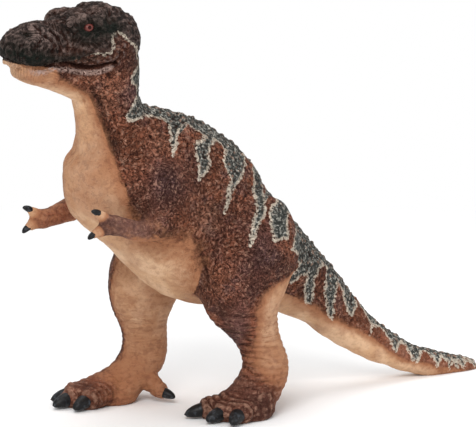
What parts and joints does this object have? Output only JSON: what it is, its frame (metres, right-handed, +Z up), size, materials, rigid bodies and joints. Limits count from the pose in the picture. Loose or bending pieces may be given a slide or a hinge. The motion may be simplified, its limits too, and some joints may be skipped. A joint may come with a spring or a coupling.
{
  "type": "toy dinosaur figure",
  "caption": "Upright two-legged moulded dinosaur figure with raised head, small arms and a long tail; rests on both feet and the tail's end.",
  "frame": {"origin": "centre of the figure's footprint box, on the surface that it stands on", "axes": "+Z up, +X towards the tail's tip so that the snout points to -X, and +Y to the figure's right"},
  "size_m": [0.1934, 0.0722, 0.1485],
  "materials": {
    "body_paint": "hand-painted moulded vinyl, brown flank, tan belly and dark back with a pale wavy outline",
    "head_paint": "hand-painted moulded vinyl, dark grey-brown with a red-brown neck",
    "jaw_paint": "hand-painted moulded vinyl, tan",
    "core_plastic": "plain unpainted moulding"
  },
  "bodies": {
    "root": {"torso": "body_paint", "torso_core": "core_plastic", "head": "head_paint", "lower_jaw": "jaw_paint", "tail": "body_paint", "left_arm": "body_paint", "right_arm": "body_paint", "left_leg": "body_paint", "right_leg": "body_paint"}
  },
  "joints": []
}
